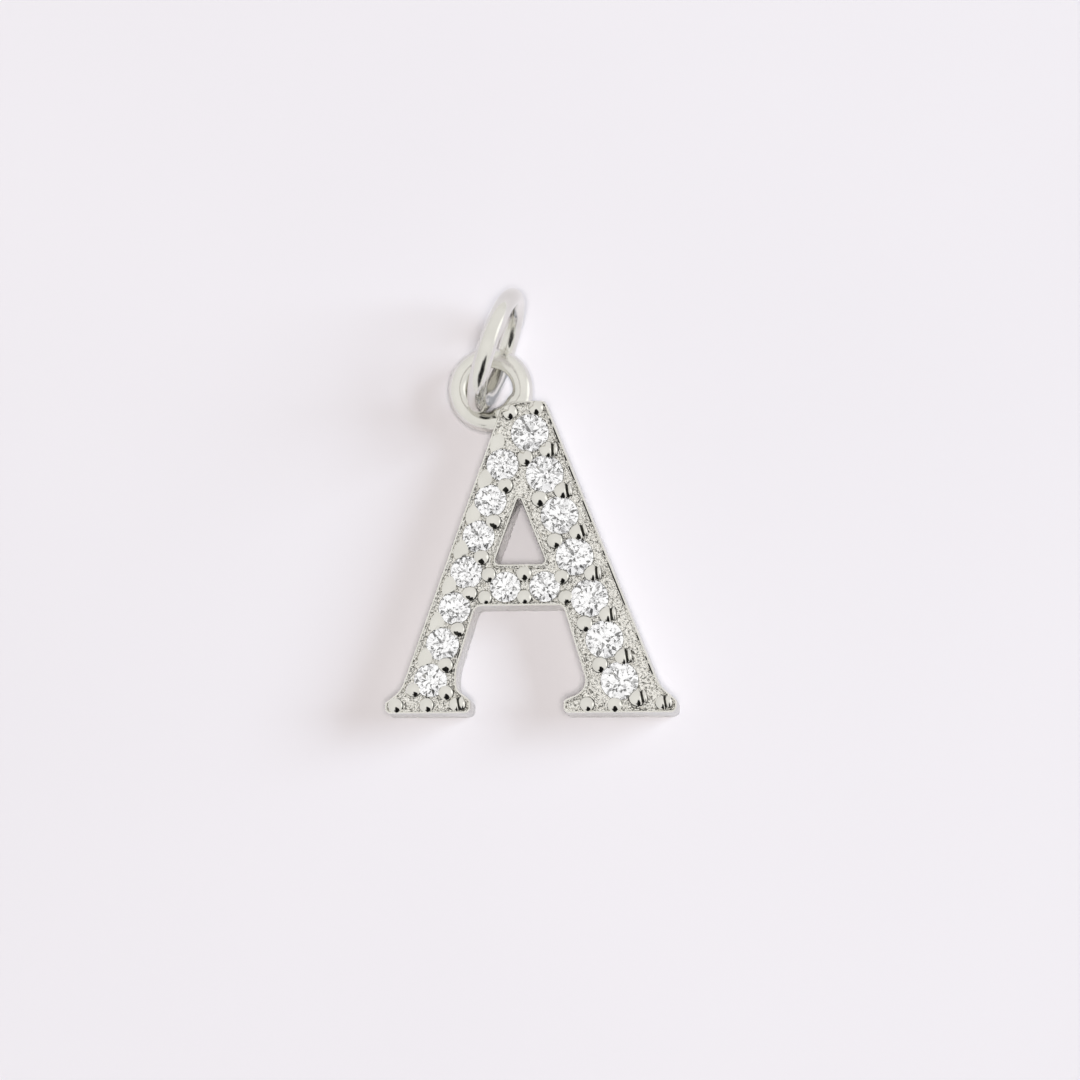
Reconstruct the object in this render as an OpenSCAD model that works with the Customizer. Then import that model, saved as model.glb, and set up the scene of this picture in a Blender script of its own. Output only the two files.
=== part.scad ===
// Initial pendant, letter A, set with sixteen round stones, with its jump ring.
// Millimetres, +Z up. The letter lies on its back on z = 0, its top toward +Y.
// The origin is the middle of the whole piece's box, on the surface that it lies on.

/* [Letter] */
// width of the letter over its feet
letter_w = 9.2; // [9:0.05:9.8]
// height of the letter from the baseline to its flat top
letter_h = 9.9; // [9.7:0.05:10.6]
// thickness of the casting, back to rim
body_t = 1.7; // [1.5:0.05:2.2]
// width of the smooth rim round the textured field
rim_w = 0.15; // [0.1:0.01:0.18]
// how far the field lies below the rim
field_depth = 0.1; // [0.06:0.01:0.16]
// rounding of a plain corner of the letter
corner_r = 0.2; // [0.16:0.01:0.22]

/* [Stones] */
// width of the seven stones down the heavy stroke
large_d = 1.2; // [1.1:0.05:1.25]
// width of the upper five stones down the light stroke
small_d = 1.02; // [0.9:0.01:1.04]
// width of the lowest two stones down the light stroke
low_d = 1.05; // [0.9:0.01:1.08]
// width of the two stones in the crossbar
bar_d = 0.97; // [0.85:0.01:1]
// table width as a share of the stone
table_share = 0.56; // [0.5:0.01:0.62]
// crown height as a share of the stone
crown_share = 0.15; // [0.12:0.01:0.17]
// pavilion depth as a share of the stone
pavilion_share = 0.43; // [0.4:0.01:0.45]
// where the star facets end, as a share of the way from the table to the girdle
star_share = 0.55; // [0.45:0.01:0.65]
// where the lower girdle facets end, as a share of the way from the culet to the girdle
lower_share = 0.28; // [0.2:0.01:0.5]
// girdle thickness as a share of the stone
girdle_share = 0.035; // [0.02:0.005:0.05]
// height of the girdle's lower edge above the field
girdle_lift = 0.02; // [0:0.01:0.05]
// clearance all round a stone in its seat
seat_gap = 0.02; // [0.01:0.005:0.04]
// turn of each stone against the one before it, as the setter drops them in at random
stone_turn = 17; // [0:1:45]

/* [Beads] */
// width of the beads down the heavy stroke
bead_d = 0.5; // [0.44:0.01:0.54]
// width of the beads down the light stroke and in the crossbar
small_bead_d = 0.46; // [0.4:0.01:0.5]
// how far a bead's top stands above the rim
bead_rise = 0.16; // [0.1:0.01:0.22]
// from the heavy row's line out to its beads
heavy_outer = 0.37; // [0.34:0.01:0.4]
// from the heavy row's line in to its beads
heavy_inner = 0.41; // [0.38:0.01:0.44]
// from the light row's line out to its beads
light_outer = 0.38; // [0.34:0.01:0.4]
// from the light row's line in to its beads
light_inner = 0.3; // [0.28:0.01:0.32]

/* [Rings] */
// height of the fixed loop's middle above the letter's flat top
loop_rise = 0.46; // [0.42:0.01:0.5]
// outer width of the fixed hanging loop
loop_od = 2.68; // [2.64:0.01:2.9]
// wire of the fixed hanging loop
loop_wire = 0.64; // [0.55:0.01:0.68]
// outer width of the jump ring
jump_od = 4.11; // [4:0.01:4.6]
// wire of the jump ring
jump_wire = 0.6; // [0.5:0.01:0.62]
// clearance between the loop's wire and the jump ring under it
link_gap = 0.04; // [0.03:0.005:0.08]
// turn of the standing jump ring from the letter's upright
jump_turn = 18.8; // [12:0.1:22]
// lean of the standing jump ring from the vertical, its top toward the left
jump_lean = 2.5; // [0:0.1:4]
// how far below the loop's middle the jump ring passes through it
jump_slide = 0.25; // [0.18:0.01:0.26]
// how far to the left of the loop's middle it passes through
jump_side = 0.05; // [0:0.01:0.07]

/* [Hidden] */

$fn = 48;
arc_steps = 5;
metal = [0.86, 0.86, 0.85];
wire_metal = [0.80, 0.80, 0.79];
clear = [0.80, 0.88, 0.95];

// Corners of the letter, counterclockwise from the left foot's lower left.
// Columns: share of the width from the middle, share of the height, rounding as a share of
// corner_r.
outline = [
  [-0.500, 0.002, 0.90], // left foot, outer end, bottom
  [-0.205, 0.002, 1.00], // left foot, inner end, bottom
  [-0.205, 0.044, 0.90], // left foot, inner end, top
  [-0.253, 0.078, 1.75], // bracket into the light stroke
  [-0.256, 0.134, 7.50], // light stroke starts to run straight
  [-0.188, 0.343, 1.25], // light stroke meets the crossbar
  [0.111, 0.343, 1.00], // crossbar meets the heavy stroke
  [0.198, 0.076, 2.50], // bracket into the right foot
  [0.112, 0.043, 0.75], // right foot, inner end, top
  [0.112, 0.000, 0.90], // right foot, inner end, bottom
  [0.500, 0.000, 1.00], // right foot, outer end, bottom
  [0.500, 0.040, 0.75], // right foot, outer end, top
  [0.441, 0.089, 4.50], // bracket out of the heavy stroke
  [0.050, 1.000, 0.80], // flat top, right
  [-0.063, 1.000, 1.50], // flat top, left
  [-0.102, 0.979, 0.60], // cut corner above the light stroke
  [-0.446, 0.076, 4.50], // bracket into the left foot
  [-0.500, 0.038, 0.60] // left foot, outer end, top
];

// Corners of the counter, counterclockwise, same columns.
counter = [
  [-0.126, 0.477, 0.60], // lower left
  [0.054, 0.477, 0.60], // lower right
  [-0.040, 0.697, 0.30] // apex
];

// Ends of the rows of stones, as shares of the width and the height.
light_from = [-0.097, 0.795];
light_to = [-0.343, 0.108];
heavy_from = [-0.003, 0.897];
heavy_to = [0.304, 0.102];
bar_from = [-0.087, 0.404];
bar_to = [0.048, 0.404];
light_count = 7;
heavy_count = 7;
bar_count = 2;

// Which gaps between the stones of the heavy stroke have a bead on their inner side.
heavy_inner_gaps = [0, 1, 2, 4, 5];

// Beads that stand outside the rows' rule. Columns: share of the width and of the height of
// the corner or edge that the bead keeps to, then its way right and up from there, counted in
// widths of a small bead.
free_beads = [
  [-0.063, 1.000, -0.14, -0.80], // flat top, left
  [0.050, 1.000, -0.62, -0.52], // flat top, right
  [-0.126, 0.477, -0.38, -0.69], // crossbar, upper left
  [-0.022, 0.477, 0.00, -0.69], // crossbar, upper middle
  [0.054, 0.477, 1.06, -0.88], // crossbar, upper right
  [-0.188, 0.343, 0.62, 0.62], // crossbar, lower left
  [-0.021, 0.343, 0.00, 0.62], // crossbar, lower middle
  [0.111, 0.343, 0.14, 0.62], // crossbar, lower right
  [-0.500, 0.002, 0.74, 0.56], // left foot, outer
  [-0.357, 0.002, 0.00, 0.58], // left foot, middle
  [-0.205, 0.002, -0.98, 0.65], // left foot, inner
  [-0.253, 0.078, -0.74, -0.24], // above the left foot, inner
  [-0.446, 0.076, 0.88, 0.04], // above the left foot, outer
  [0.112, 0.000, 1.62, 0.62], // right foot, inner
  [0.288, 0.000, 0.00, 0.54], // right foot, middle
  [0.500, 0.000, -0.96, 0.69] // right foot, outer
];

// Middle of the fixed loop, from the letter's middle and its baseline.
loop_x = -0.145 * letter_w;
loop_y = letter_h + loop_rise;
loop_z = jump_wire + link_gap + loop_wire / 2;
loop_r = (loop_od - loop_wire) / 2;

// The jump ring stands on z = 0 and passes through the loop. Its middle lies along its own
// line from the loop's middle, and its wire rests beside the loop's by link_gap.
jump_r = (jump_od - jump_wire) / 2;
jump_z = jump_r * cos(jump_lean) + jump_wire / 2;
along = [sin(jump_turn), cos(jump_turn)];
aside = [-cos(jump_turn), sin(jump_turn)];
drop = (jump_z - loop_z) / cos(jump_lean);
jump_reach = sqrt(jump_r * jump_r - drop * drop) - jump_slide;
jump_shift = drop * sin(jump_lean) + jump_side;
jump_x = loop_x + jump_reach * along[0] + jump_shift * aside[0];
jump_y = loop_y + jump_reach * along[1] + jump_shift * aside[1];

top_reach = norm([along[1], aside[1] * sin(jump_lean)]);
whole_y = jump_y + jump_r * top_reach + jump_wire / 2;
field_z = body_t - field_depth;
girdle_z = field_z + girdle_lift;
// least rounding that a corner keeps when its outline is moved inward
least_r = corner_r / 5;
// how far a cutter runs past what it cuts
over = body_t;

function at(share) = [share[0] * letter_w, share[1] * letter_h];
function between(a, b, t) = a + (b - a) * t;
function unit(v) = v / norm(v);
function on_circle(r, angle, z) = [r * cos(angle), r * sin(angle), z];
function left_of(v) = [-v[1], v[0]];

// One corner moved inward by d along both of its sides.
function moved(a, b, c, d) =
  let (
    n1 = left_of(unit(b - a)),
    n2 = left_of(unit(c - b))
  )
  b + d * (n1 + n2) / (1 + n1 * n2);

// 1 where the outline turns left, -1 where it turns right.
function bend(a, b, c) = sign(left_of(b - a) * (c - b));

function corner_arc(a, b, c, r) =
  let (
    back = unit(a - b),
    ahead = unit(c - b),
    half = acos(back * ahead) / 2,
    reach = r / tan(half),
    middle = b + unit(back + ahead) * r / sin(half),
    start = b + back * reach - middle,
    stop = b + ahead * reach - middle,
    from = atan2(start[1], start[0]),
    turn = atan2(left_of(start) * stop, start * stop)
  )
  [
    for (i = [0:arc_steps])
      middle + r * [cos(from + turn * i / arc_steps), sin(from + turn * i / arc_steps)]
  ];

// The rounded outline of a table of corners, moved inward by d.
function rounded(rows, d) =
  let (
    n = len(rows),
    p = [for (row = rows) at(row)],
    q = [for (i = [0:n - 1]) moved(p[(i + n - 1) % n], p[i], p[(i + 1) % n], d)],
    r = [
      for (i = [0:n - 1])
        max(least_r, rows[i][2] * corner_r - d * bend(p[(i + n - 1) % n], p[i], p[(i + 1) % n]))
    ]
  )
  [
    for (i = [0:n - 1])
      each corner_arc(q[(i + n - 1) % n], q[i], q[(i + 1) % n], r[i])
  ];

function light_d(i) = i < light_count - 2 ? small_d : low_d;
function light_row(i) = at(between(light_from, light_to, i / (light_count - 1)));
function heavy_row(i) = at(between(heavy_from, heavy_to, i / (heavy_count - 1)));
function bar_row(i) = at(between(bar_from, bar_to, i / (bar_count - 1)));

light_side = left_of(unit(at(light_from) - at(light_to)));
heavy_side = left_of(unit(at(heavy_to) - at(heavy_from)));

module placed() {
  translate([0, -whole_y / 2, 0]) children();
}

module lifted_at(p) {
  translate([p[0], p[1], girdle_z]) children();
}

// A round brilliant: its girdle's lower edge on z = 0, table up. The heights of the star and
// lower points keep the main facets flat.
module brilliant(d) {
  r = d / 2;
  table_r = r * table_share;
  crown = d * crown_share;
  girdle = d * girdle_share;
  depth = d * pavilion_share;
  main = 45;
  half = main / 2;
  star_r = between(table_r, r, star_share);
  star_z = girdle + crown * (r - star_r * cos(half)) / (r - table_r);
  low_r = r * lower_share;
  low_z = -depth * (1 - lower_share * cos(half));
  points = concat(
    [for (i = [0:7]) on_circle(table_r, main * i, girdle + crown)],
    [for (i = [0:7]) on_circle(star_r, main * i + half, star_z)],
    [for (i = [0:15]) on_circle(r, half * i, girdle)],
    [for (i = [0:15]) on_circle(r, half * i, 0)],
    [for (i = [0:7]) on_circle(low_r, main * i + half, low_z)],
    [[0, 0, -depth]]
  );
  culet = 56;
  faces = concat(
    [[for (i = [7:-1:0]) i]],
    [for (i = [0:7]) [i, (i + 1) % 8, 8 + i]],
    [for (i = [0:7]) [i, 8 + i, 16 + 2 * i]],
    [for (i = [0:7]) [i, 16 + 2 * i, 8 + (i + 7) % 8]],
    [for (i = [0:7]) [8 + i, 17 + 2 * i, 16 + 2 * i]],
    [for (i = [0:7]) [8 + i, 16 + (2 * i + 2) % 16, 17 + 2 * i]],
    [for (i = [0:15]) [16 + i, 16 + (i + 1) % 16, 32 + (i + 1) % 16]],
    [for (i = [0:15]) [16 + i, 32 + (i + 1) % 16, 32 + i]],
    [for (i = [0:7]) [32 + 2 * i, 33 + 2 * i, 48 + i]],
    [for (i = [0:7]) [33 + 2 * i, 32 + (2 * i + 2) % 16, 48 + i]],
    [for (i = [0:7]) [32 + 2 * i, 48 + i, culet]],
    [for (i = [0:7]) [32 + 2 * i, culet, 48 + (i + 7) % 8]]
  );
  polyhedron(points = points, faces = faces, convexity = 2);
}

// What is taken out of the casting and off its beads for one stone.
module seat(d) {
  r = d / 2;
  crown_top = d * (girdle_share + crown_share);
  rotate_extrude()
    polygon([
      [0, -d * pavilion_share - 2 * seat_gap],
      [r + seat_gap, -seat_gap / 2],
      [r + seat_gap, d * girdle_share + seat_gap / 2],
      [r * table_share + seat_gap, crown_top + 2 * seat_gap],
      [r * table_share + seat_gap, crown_top + over],
      [0, crown_top + over]
    ]);
}

module bead(p, d) {
  translate([p[0], p[1], body_t + bead_rise - d / 2]) sphere(d = d);
}

module all_seats() {
  for (i = [0:light_count - 1]) lifted_at(light_row(i)) seat(light_d(i));
  for (i = [0:heavy_count - 1]) lifted_at(heavy_row(i)) seat(large_d);
  for (i = [0:bar_count - 1]) lifted_at(bar_row(i)) seat(bar_d);
}

module all_beads() {
  for (i = [0:heavy_count - 1]) bead(heavy_row(i + 0.5) + heavy_side * heavy_outer, bead_d);
  for (i = heavy_inner_gaps) bead(heavy_row(i + 0.5) - heavy_side * heavy_inner, bead_d);
  for (i = [0:light_count - 1]) bead(light_row(i - 0.5) + light_side * light_outer, small_bead_d);
  for (i = [1:light_count - 1]) bead(light_row(i - 0.5) - light_side * light_inner, small_bead_d);
  for (row = free_beads) bead(at(row) + [row[2], row[3]] * small_bead_d, small_bead_d);
}

module blank() {
  difference() {
    linear_extrude(height = body_t)
      difference() {
        polygon(rounded(outline, 0));
        polygon(rounded(counter, 0));
      }
    translate([0, 0, field_z])
      linear_extrude(height = over)
        difference() {
          polygon(rounded(outline, rim_w));
          polygon(rounded(counter, -rim_w));
        }
  }
}

module wire_ring(r, wire) {
  rotate_extrude()
    translate([r, 0]) circle(d = wire);
}

module letter_setting() {
  color(metal)
    placed()
      difference() {
        union() {
          blank();
          all_beads();
          translate([loop_x, loop_y, loop_z]) wire_ring(loop_r, loop_wire);
        }
        all_seats();
      }
}

module jump_ring() {
  color(wire_metal)
    placed()
      translate([jump_x, jump_y, jump_z])
        rotate([0, 0, -jump_turn])
          rotate([0, 90 - jump_lean, 0])
            wire_ring(jump_r, jump_wire);
}

module stone(p, d, i) {
  color(clear) placed() lifted_at(p) rotate([0, 0, stone_turn * i]) brilliant(d);
}
module light_stone(i) { stone(light_row(i), light_d(i), i); }
module heavy_stone(i) { stone(heavy_row(i), large_d, light_count + i); }
module bar_stone(i) { stone(bar_row(i), bar_d, light_count + heavy_count + i); }

module stone_top() { heavy_stone(0); }
module stone_left_1() { light_stone(0); }
module stone_left_2() { light_stone(1); }
module stone_left_3() { light_stone(2); }
module stone_left_4() { light_stone(3); }
module stone_left_5() { light_stone(4); }
module stone_left_6() { light_stone(5); }
module stone_left_7() { light_stone(6); }
module stone_right_1() { heavy_stone(1); }
module stone_right_2() { heavy_stone(2); }
module stone_right_3() { heavy_stone(3); }
module stone_right_4() { heavy_stone(4); }
module stone_right_5() { heavy_stone(5); }
module stone_right_6() { heavy_stone(6); }
module stone_bar_1() { bar_stone(0); }
module stone_bar_2() { bar_stone(1); }

letter_setting();
jump_ring();
stone_top();
stone_left_1();
stone_left_2();
stone_left_3();
stone_left_4();
stone_left_5();
stone_left_6();
stone_left_7();
stone_right_1();
stone_right_2();
stone_right_3();
stone_right_4();
stone_right_5();
stone_right_6();
stone_bar_1();
stone_bar_2();
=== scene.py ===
# %% [markdown]
# A pave set letter pendant, lesson by lesson
# The object is a small silver letter, set with sixteen round stones, that lies on its back with a
# jump ring standing in its loop. The exact solids come ready made, and this script dresses them
# but never moves them. So the first step loads them and can read the box that each one fills,
# which sizes and places the pieces that are modelled below.

# %% Load the solids and remember their box
import math
import random

import bpy
from mathutils import Matrix, Vector
from mathutils.geometry import delaunay_2d_cdt


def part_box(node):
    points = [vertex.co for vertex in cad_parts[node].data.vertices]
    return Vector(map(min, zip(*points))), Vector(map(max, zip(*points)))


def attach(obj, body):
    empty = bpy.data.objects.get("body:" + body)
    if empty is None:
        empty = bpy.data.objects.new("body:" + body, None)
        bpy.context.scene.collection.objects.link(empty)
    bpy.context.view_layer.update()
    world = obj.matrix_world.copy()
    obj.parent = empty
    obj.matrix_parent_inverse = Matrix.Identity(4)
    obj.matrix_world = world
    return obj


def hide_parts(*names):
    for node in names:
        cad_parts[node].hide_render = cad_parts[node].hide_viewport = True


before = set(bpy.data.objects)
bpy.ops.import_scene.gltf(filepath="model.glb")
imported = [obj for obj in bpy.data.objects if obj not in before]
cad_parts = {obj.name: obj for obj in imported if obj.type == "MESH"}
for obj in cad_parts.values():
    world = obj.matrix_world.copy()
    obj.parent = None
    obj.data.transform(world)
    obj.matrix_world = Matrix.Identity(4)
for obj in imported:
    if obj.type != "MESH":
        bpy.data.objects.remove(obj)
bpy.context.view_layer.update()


print("solids loaded:", len(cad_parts))

# %% [markdown]
# Goldsmiths think in millimetres and Blender in metres, so the shapes are worked out in
# millimetres and scaled once, where a mesh is made. What the solids can tell is read from them:
# the width of the letter, the line that it stands on, and the place and width of each stone. Only
# what no box shows, such as the height of the letter inside its loop, is written as a value here.

# %% Measure the letter and the stones
MM = 0.001
letter_h = 9.9
body_t = 1.7
field_depth = 0.1
girdle_lift = 0.02
crown_share = 0.15
girdle_share = 0.035
pavilion_share = 0.43
table_share = 0.56
seat_gap = 0.02

letter_low, letter_high = (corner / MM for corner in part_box("letter_setting"))
letter_w = letter_high.x - letter_low.x
baseline = letter_low.y
field_z = body_t - field_depth
girdle_z = field_z + girdle_lift


def stone_place(name):
    low, high = (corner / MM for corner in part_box(name))
    width = (high.z - low.z) / (crown_share + girdle_share + pavilion_share)
    return Vector(((low.x + high.x) / 2, (low.y + high.y) / 2)), width


light_names = [f"stone_left_{i}" for i in range(1, 8)]
heavy_names = ["stone_top"] + [f"stone_right_{i}" for i in range(1, 7)]
bar_names = ["stone_bar_1", "stone_bar_2"]
stones = {name: stone_place(name) for name in light_names + heavy_names + bar_names}
print("letter width", round(letter_w, 3), "mm, baseline at y", round(baseline, 3), "mm")
print("stone widths", sorted({round(width, 2) for _, width in stones.values()}), "mm")

# %% [markdown]
# The outline of the letter could be drawn by hand as a curve, but then its corners would drift
# from the solid. Here it is the same short table of corners as in the solid, as shares of the
# width and the height.

# %% Table of corners
# Columns: shares of the width and the height, rounding in corner radii.
letter_corners = [
    (-0.500, 0.002, 0.90),  # left foot, outer end, bottom
    (-0.205, 0.002, 1.00),  # left foot, inner end, bottom
    (-0.205, 0.044, 0.90),  # left foot, inner end, top
    (-0.253, 0.078, 1.75),  # bracket into the light stroke
    (-0.256, 0.134, 7.50),  # light stroke starts to run straight
    (-0.188, 0.343, 1.25),  # light stroke meets the crossbar
    (0.111, 0.343, 1.00),  # crossbar meets the heavy stroke
    (0.198, 0.076, 2.50),  # bracket into the right foot
    (0.112, 0.043, 0.75),  # right foot, inner end, top
    (0.112, 0.000, 0.90),  # right foot, inner end, bottom
    (0.500, 0.000, 1.00),  # right foot, outer end, bottom
    (0.500, 0.040, 0.75),  # right foot, outer end, top
    (0.441, 0.089, 4.50),  # bracket out of the heavy stroke
    (0.050, 1.000, 0.80),  # flat top, right
    (-0.063, 1.000, 1.50),  # flat top, left
    (-0.102, 0.979, 0.60),  # cut corner above the light stroke
    (-0.446, 0.076, 4.50),  # bracket into the left foot
    (-0.500, 0.038, 0.60),  # left foot, outer end, top
]
counter_corners = [
    (-0.126, 0.477, 0.60),  # lower left
    (0.054, 0.477, 0.60),  # lower right
    (-0.040, 0.697, 0.30),  # apex
]
print("corners:", len(letter_corners), "and", len(counter_corners))

# %% [markdown]
# A function rounds each corner with a few points. It can also move the outline inward, which is
# how the rim and the field inside it are found. The straight stretches get points of their own.

# %% Round the corners
corner_r = 0.2
least_r = corner_r / 5
corner_steps = 6
edge_step = 0.06


def at(share_x, share_y):
    return Vector((share_x * letter_w, share_y * letter_h + baseline))


def left_of(v):
    return Vector((-v.y, v.x))


def corner_arc(before, here, after, r):
    back = (before - here).normalized()
    ahead = (after - here).normalized()
    half = back.angle(ahead) / 2
    middle = here + (back + ahead).normalized() * r / math.sin(half)
    start = here + back * r / math.tan(half) - middle
    turn = math.pi - 2 * half
    if left_of(ahead).dot(back) < 0:
        turn = -turn
    steps = [turn * i / corner_steps for i in range(corner_steps + 1)]
    return [middle + Matrix.Rotation(angle, 2) @ start for angle in steps]


def rounded(corners, inset):
    points = [at(x, y) for x, y, _ in corners]
    count = len(points)
    moved = []
    radii = []
    for i, here in enumerate(points):
        before = points[i - 1]
        after = points[(i + 1) % count]
        n1 = left_of((here - before).normalized())
        n2 = left_of((after - here).normalized())
        moved.append(here + inset * (n1 + n2) / (1 + n1.dot(n2)))
        bend = 1 if n1.cross(n2) > 0 else -1
        radii.append(max(least_r, corners[i][2] * corner_r - inset * bend))
    outline = []
    for i in range(count):
        outline += corner_arc(moved[i - 1], moved[i], moved[(i + 1) % count], radii[i])
    return outline


def evenly(corners, inset):
    """The rounded outline with its straight stretches split, the same way at every inset."""
    plain = rounded(corners, 0)
    outline = rounded(corners, inset)
    count = len(plain)
    split = []
    for i in range(count):
        j = (i + 1) % count
        pieces = max(1, round((plain[j] - plain[i]).length / edge_step))
        split += [outline[i].lerp(outline[j], k / pieces) for k in range(pieces)]
    return split


print("outline points:", len(evenly(letter_corners, 0)), "and", len(evenly(counter_corners, 0)))

# %% [markdown]
# A few helpers carry the rest. One makes a mesh object from points in millimetres, one closes the
# gap between two rings of points with a band of faces, one turns a profile on the lathe, and one
# bends a wire along a ring. They are all a jeweller's forms need: plate, turned grain and wire.

# %% Helpers for plate, grains and wire


def new_piece(name, points, faces, materials, finish=None, sharp_deg=40):
    mesh = bpy.data.meshes.new(name)
    mesh.from_pydata([Vector(p) * MM for p in points], [], faces)
    mesh.validate()
    mesh.shade_smooth()
    mesh.set_sharp_from_angle(angle=math.radians(sharp_deg))
    for material in materials:
        mesh.materials.append(material)
    if finish:
        mesh.polygons.foreach_set("material_index", finish)
    piece = bpy.data.objects.new(name, mesh)
    bpy.context.scene.collection.objects.link(piece)
    print(name, "faces:", len(mesh.polygons))
    return piece


def band(first, second, count, flip=False):
    faces = []
    for i in range(count):
        j = (i + 1) % count
        face = (first + i, first + j, second + j, second + i)
        faces.append(face[::-1] if flip else face)
    return faces


def spokes(count):
    """Cosine and sine of directions that are spread evenly round a circle."""
    angles = [2 * math.pi * i / count for i in range(count)]
    return [(math.cos(angle), math.sin(angle)) for angle in angles]


def turned(profile, sides):
    """A closed grain from (radius, height) pairs, its first and last point on the axis."""
    points = [(0, 0, profile[0][1])]
    for r, z in profile[1:-1]:
        points += [(r * cosine, r * sine, z) for cosine, sine in spokes(sides)]
    points.append((0, 0, profile[-1][1]))
    last = len(points) - 1
    faces = [(0, 1 + (i + 1) % sides, 1 + i) for i in range(sides)]
    for k in range(len(profile) - 3):
        faces += band(1 + k * sides, 1 + (k + 1) * sides, sides)
    top = last - sides
    faces += [(last, top + i, top + (i + 1) % sides) for i in range(sides)]
    return points, faces


def bent_wire(ring_r, steps, sides, radius_at, place, start_deg=0, sweep_deg=360):
    """A wire bent to a ring in its own XY plane and put in its place by a matrix."""
    closed = sweep_deg >= 360
    rings = steps if closed else steps + 1
    points = []
    for k in range(rings):
        turn = math.radians(start_deg + sweep_deg * k / steps)
        wire_r = radius_at(turn)
        for cosine, sine in spokes(sides):
            reach = ring_r + wire_r * cosine
            spot = Vector((reach * math.cos(turn), reach * math.sin(turn), wire_r * sine))
            points.append(place @ spot)
    faces = []
    for k in range(steps):
        faces += band(k * sides, (k + 1) % rings * sides, sides, flip=True)
    if not closed:
        faces.append(tuple(range(sides)))
        faces.append(tuple(range((rings - 1) * sides, rings * sides))[::-1])
    return points, faces


print("helpers ready: new_piece, band, spokes, turned, bent_wire")

# %% [markdown]
# The silver is rhodium plated: a white metal with a faint warm grey cast. A polished casting is
# never a perfect mirror. Tumbling leaves a soft orange peel and hair lines, so the polish
# gets a slow noise in its roughness and two faint bumps, one slow and one fine. Noise is
# measured in object coordinates, in metres, so a grain of 0.05 mm needs a scale near 20000.

# %% Polished rhodium


def per_mm(count):
    return count / MM


def new_material(name):
    material = bpy.data.materials.new(name)
    material.use_nodes = True
    nodes = material.node_tree.nodes
    where = nodes.new("ShaderNodeTexCoord")
    return material, nodes, material.node_tree.links, nodes["Principled BSDF"], where


def noise(nodes, links, where, scale, detail=2.0):
    texture = nodes.new("ShaderNodeTexNoise")
    texture.inputs["Scale"].default_value = scale
    texture.inputs["Detail"].default_value = detail
    links.new(where.outputs["Object"], texture.inputs["Vector"])
    return texture.outputs["Fac"]


def spread(nodes, links, value, low, high, from_low=0.3, from_high=0.7):
    """Maps a texture's middle range onto the range that a socket needs."""
    step = nodes.new("ShaderNodeMapRange")
    step.inputs["From Min"].default_value = from_low
    step.inputs["From Max"].default_value = from_high
    step.inputs["To Min"].default_value = low
    step.inputs["To Max"].default_value = high
    links.new(value, step.inputs["Value"])
    return step.outputs["Result"]


def bump(nodes, links, height, depth_mm, under=None):
    step = nodes.new("ShaderNodeBump")
    step.inputs["Distance"].default_value = depth_mm * MM
    links.new(height, step.inputs["Height"])
    if under:
        links.new(under, step.inputs["Normal"])
    return step.outputs["Normal"]


def tinted(nodes, links, value, dark, pale, dark_at=0.3, pale_at=0.7):
    ramp = nodes.new("ShaderNodeValToRGB")
    ramp.color_ramp.elements[0].position = dark_at
    ramp.color_ramp.elements[0].color = (*dark, 1)
    ramp.color_ramp.elements[1].position = pale_at
    ramp.color_ramp.elements[1].color = (*pale, 1)
    links.new(value, ramp.inputs["Fac"])
    return ramp.outputs["Color"]


silver_dark = (0.74, 0.73, 0.695)
silver_pale = (0.81, 0.80, 0.765)
clouds_per_mm = 1.2
peel_per_mm = 4
hairs_per_mm = 45
peel_over_hairs = 12


def polished_rhodium(name, rough, peel_mm, dark=silver_dark, pale=silver_pale):
    material, nodes, links, shader, where = new_material(name)
    clouds = noise(nodes, links, where, per_mm(clouds_per_mm))
    peel = noise(nodes, links, where, per_mm(peel_per_mm))
    hairs = noise(nodes, links, where, per_mm(hairs_per_mm), detail=4)
    shader.inputs["Metallic"].default_value = 1
    links.new(tinted(nodes, links, clouds, dark, pale), shader.inputs["Base Color"])
    links.new(spread(nodes, links, clouds, *rough), shader.inputs["Roughness"])
    slow = bump(nodes, links, peel, peel_mm)
    fine = bump(nodes, links, hairs, peel_mm / peel_over_hairs, under=slow)
    links.new(fine, shader.inputs["Normal"])
    return material


casting_polish = polished_rhodium("casting_polish", rough=(0.12, 0.22), peel_mm=0.012)
wire_polish = polished_rhodium("wire_polish", rough=(0.12, 0.19), peel_mm=0.006)
grain_polish = polished_rhodium("grain_polish", rough=(0.04, 0.09), peel_mm=0.003)
print("materials:", casting_polish.name, wire_polish.name, grain_polish.name)

# %% [markdown]
# Two places on the casting are painted darker than the polish. The walls are a little rougher and
# greyer, the grey being painted shade for the shaded floor that they mirror. The graver's cuts
# and other narrow hollows are painted near black, as painted shade for the light that can't get
# out of them. Both are the same recipe with other colours, so the function above makes them too.

# %% Painted shade for the walls and the graver cuts
# Painted shade: the walls' colour is greyer than the polish; their higher roughness is their own.
wall_shade_dark = (0.56, 0.56, 0.54)
wall_shade_pale = (0.65, 0.65, 0.63)
# Painted shade: near black for the floors of cuts, the grains' moats, the nicks and the dashes by
# the rim.
cut_shade_dark = (0.012, 0.012, 0.011)
cut_shade_pale = (0.05, 0.05, 0.045)

shaded_casting_wall = polished_rhodium("shaded_casting_wall", (0.22, 0.32), 0.010, wall_shade_dark, wall_shade_pale)
cut_painted_shade = polished_rhodium("cut_painted_shade", (0.30, 0.45), 0.004, cut_shade_dark, cut_shade_pale)
print("materials:", shaded_casting_wall.name, cut_painted_shade.name)

# %% [markdown]
# Between the stones the metal is left pebbled, because a polished floor there would compete
# with them. The pebbles are worked into the mesh further down. The material adds what is too
# small for a mesh: cells of a Voronoi pattern as the finest pebbles and a gritty noise on top.
# Where the two run low the colour is painted dark, as painted shade in the grooves between the
# pebbles, and on their tops it is painted almost white, as painted highlights.

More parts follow.
